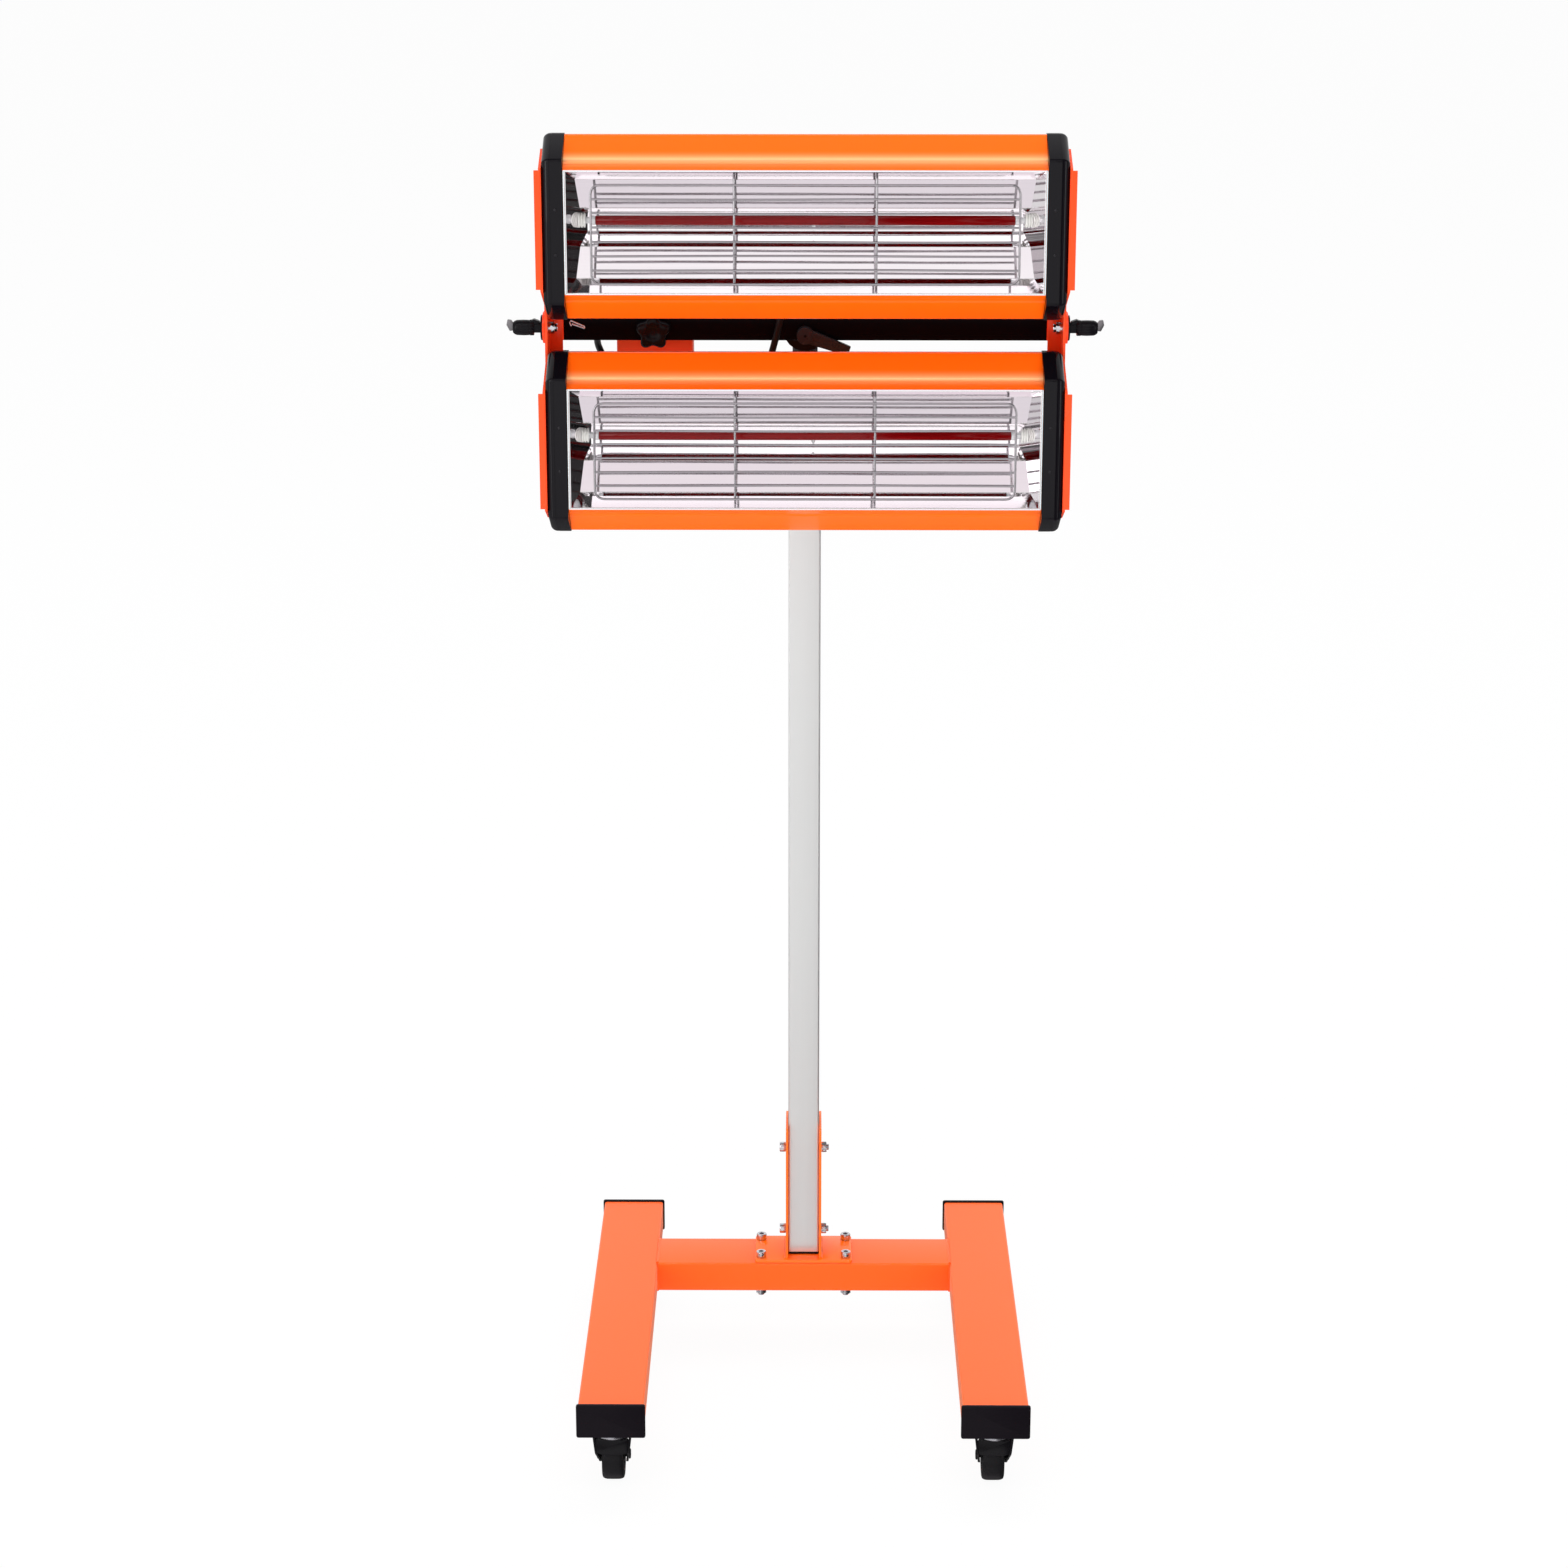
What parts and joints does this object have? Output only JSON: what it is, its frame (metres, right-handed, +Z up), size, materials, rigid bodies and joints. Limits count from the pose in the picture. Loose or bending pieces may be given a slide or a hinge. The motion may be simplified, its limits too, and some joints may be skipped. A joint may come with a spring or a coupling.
{
  "type": "infrared paint curing lamp",
  "caption": "Wheeled stand with a square post, swing arm and tilting frame that holds infrared lamp heads with wire guards, for drying car paint.",
  "frame": {"origin": "on the floor, below the middle of the base's outline", "axes": "+X across the lamp to the right as seen facing the lamps, -Y the way the lamps shine, +Z up"},
  "size_m": [0.6878, 0.6106, 1.6345],
  "materials": {
    "orange_paint": "satin",
    "orange_shell": "gloss",
    "red_orange_paint": "satin",
    "silver_aluminium": "satin",
    "black_plastic": "satin",
    "black_gloss": "gloss",
    "black_paint": "satin",
    "black_rubber": "matte",
    "chrome": "polished",
    "zinc": "satin",
    "mirror_aluminium": "polished",
    "ruby_quartz": "gloss"
  },
  "bodies": {
    "base": {"leg_left": "orange_paint", "leg_right": "orange_paint", "cross_tube": "orange_paint", "leg_cap_front_left": "black_plastic", "leg_cap_front_right": "black_plastic", "leg_cap_rear_left": "black_plastic", "leg_cap_rear_right": "black_plastic", "caster_plate_front_left": "zinc", "caster_plate_front_right": "zinc", "caster_plate_rear_left": "zinc", "caster_plate_rear_right": "zinc", "post_bracket": "orange_paint", "post": "silver_aluminium", "post_foot": "black_plastic", "base_bolt_1": "chrome", "base_bolt_2": "chrome", "base_bolt_3": "chrome", "base_bolt_4": "chrome", "post_bolt_lower": "chrome", "post_bolt_upper": "chrome", "post_head": "black_paint"},
    "fork_front_left": {"caster_fork_front_left": "black_paint"},
    "wheel_front_left": {"caster_wheel_front_left": "black_rubber"},
    "fork_front_right": {"caster_fork_front_right": "black_paint"},
    "wheel_front_right": {"caster_wheel_front_right": "black_rubber"},
    "fork_rear_left": {"caster_fork_rear_left": "black_paint"},
    "wheel_rear_left": {"caster_wheel_rear_left": "black_rubber"},
    "fork_rear_right": {"caster_fork_rear_right": "black_paint"},
    "wheel_rear_right": {"caster_wheel_rear_right": "black_rubber"},
    "pedal_left": {"brake_pedal_left": "black_plastic"},
    "pedal_right": {"brake_pedal_right": "black_plastic"},
    "arm": {"swing_arm": "black_paint"},
    "arm_clamp": {"arm_lever": "black_plastic"},
    "yoke": {"crossbar": "black_paint", "end_bracket_left": "red_orange_paint", "end_bracket_right": "red_orange_paint", "control_box": "red_orange_paint", "control_panel": "black_plastic", "lead_upper": "black_rubber", "lead_lower": "black_rubber"},
    "yoke_clamp": {"clamp_lever": "black_plastic"},
    "lamp_frame": {"side_arm_left": "red_orange_paint", "side_arm_right": "red_orange_paint", "shell_upper": "orange_shell", "end_cap_upper_left": "black_gloss", "end_cap_upper_right": "black_gloss", "reflector_upper": "mirror_aluminium", "lamp_upper": "ruby_quartz", "guard_upper": "chrome", "shell_lower": "orange_shell", "end_cap_lower_left": "black_gloss", "end_cap_lower_right": "black_gloss", "reflector_lower": "mirror_aluminium", "lamp_lower": "ruby_quartz", "guard_lower": "chrome"},
    "handle_left": {"ratchet_handle_left": "black_plastic"},
    "handle_right": {"ratchet_handle_right": "black_plastic"},
    "knob": {"star_knob": "black_plastic"},
    "rocker_upper": {"switch_upper": "black_gloss"},
    "rocker_lower": {"switch_lower": "black_gloss"}
  },
  "joints": [
    {"name": "swivel_front_left", "type": "hinge", "parent": "base", "child": "fork_front_left", "pos_m": [-0.2335, -0.27, 0.0734], "axis": [0, 0, 1], "continuous": true},
    {"name": "roll_front_left", "type": "hinge", "parent": "fork_front_left", "child": "wheel_front_left", "pos_m": [-0.2335, -0.246, 0.031], "axis": [1, 0, 0], "continuous": true},
    {"name": "swivel_front_right", "type": "hinge", "parent": "base", "child": "fork_front_right", "pos_m": [0.2335, -0.27, 0.0734], "axis": [0, 0, 1], "continuous": true},
    {"name": "roll_front_right", "type": "hinge", "parent": "fork_front_right", "child": "wheel_front_right", "pos_m": [0.2335, -0.246, 0.031], "axis": [1, 0, 0], "continuous": true},
    {"name": "swivel_rear_left", "type": "hinge", "parent": "base", "child": "fork_rear_left", "pos_m": [-0.2335, 0.27, 0.0734], "axis": [0, 0, 1], "continuous": true},
    {"name": "roll_rear_left", "type": "hinge", "parent": "fork_rear_left", "child": "wheel_rear_left", "pos_m": [-0.2335, 0.246, 0.031], "axis": [1, 0, 0], "continuous": true},
    {"name": "swivel_rear_right", "type": "hinge", "parent": "base", "child": "fork_rear_right", "pos_m": [0.2335, 0.27, 0.0734], "axis": [0, 0, 1], "continuous": true},
    {"name": "roll_rear_right", "type": "hinge", "parent": "fork_rear_right", "child": "wheel_rear_right", "pos_m": [0.2335, 0.246, 0.031], "axis": [1, 0, 0], "continuous": true},
    {"name": "brake_left", "type": "hinge", "parent": "fork_front_left", "child": "pedal_left", "pos_m": [-0.2335, -0.24, 0.066], "axis": [1, 0, 0], "range_deg": [-10, 0]},
    {"name": "brake_right", "type": "hinge", "parent": "fork_front_right", "child": "pedal_right", "pos_m": [0.2335, -0.24, 0.066], "axis": [1, 0, 0], "range_deg": [-10, 0]},
    {"name": "arm_lift", "type": "hinge", "parent": "base", "child": "arm", "pos_m": [0, 0.143, 1.2999], "axis": [1, 0, 0], "range_deg": [-20, 15]},
    {"name": "arm_clamp_turn", "type": "hinge", "parent": "base", "child": "arm_clamp", "pos_m": [0, 0.143, 1.2999], "axis": [1, 0, 0], "range_deg": [-60, 60]},
    {"name": "yoke_roll", "type": "hinge", "parent": "arm", "child": "yoke", "pos_m": [0, -0.0453, 1.3879], "axis": [0, 1, 0], "range_deg": [-90, 90]},
    {"name": "yoke_clamp_turn", "type": "hinge", "parent": "yoke", "child": "yoke_clamp", "pos_m": [0, -0.0453, 1.3879], "axis": [0, 1, 0], "range_deg": [-60, 30]},
    {"name": "lamp_tilt", "type": "hinge", "parent": "yoke", "child": "lamp_frame", "pos_m": [0, -0.1253, 1.4089], "axis": [1, 0, 0], "range_deg": [-30, 30], "deforming": ["lead_upper", "lead_lower"]},
    {"name": "handle_turn_left", "type": "hinge", "parent": "yoke", "child": "handle_left", "pos_m": [-0.2986, -0.1253, 1.4089], "axis": [1, 0, 0], "range_deg": [-90, 90]},
    {"name": "handle_turn_right", "type": "hinge", "parent": "yoke", "child": "handle_right", "pos_m": [0.2986, -0.1253, 1.4089], "axis": [1, 0, 0], "range_deg": [-90, 90]},
    {"name": "knob_turn", "type": "hinge", "parent": "yoke", "child": "knob", "pos_m": [-0.178, -0.0453, 1.3919], "axis": [0, 1, 0], "range_deg": [-170, 170]},
    {"name": "rocker_upper_tip", "type": "hinge", "parent": "yoke", "child": "rocker_upper", "pos_m": [-0.195, 0.0333, 1.3649], "axis": [1, 0, 0], "range_deg": [-6, 6]},
    {"name": "rocker_lower_tip", "type": "hinge", "parent": "yoke", "child": "rocker_lower", "pos_m": [-0.161, 0.0333, 1.3649], "axis": [1, 0, 0], "range_deg": [-6, 6]}
  ]
}
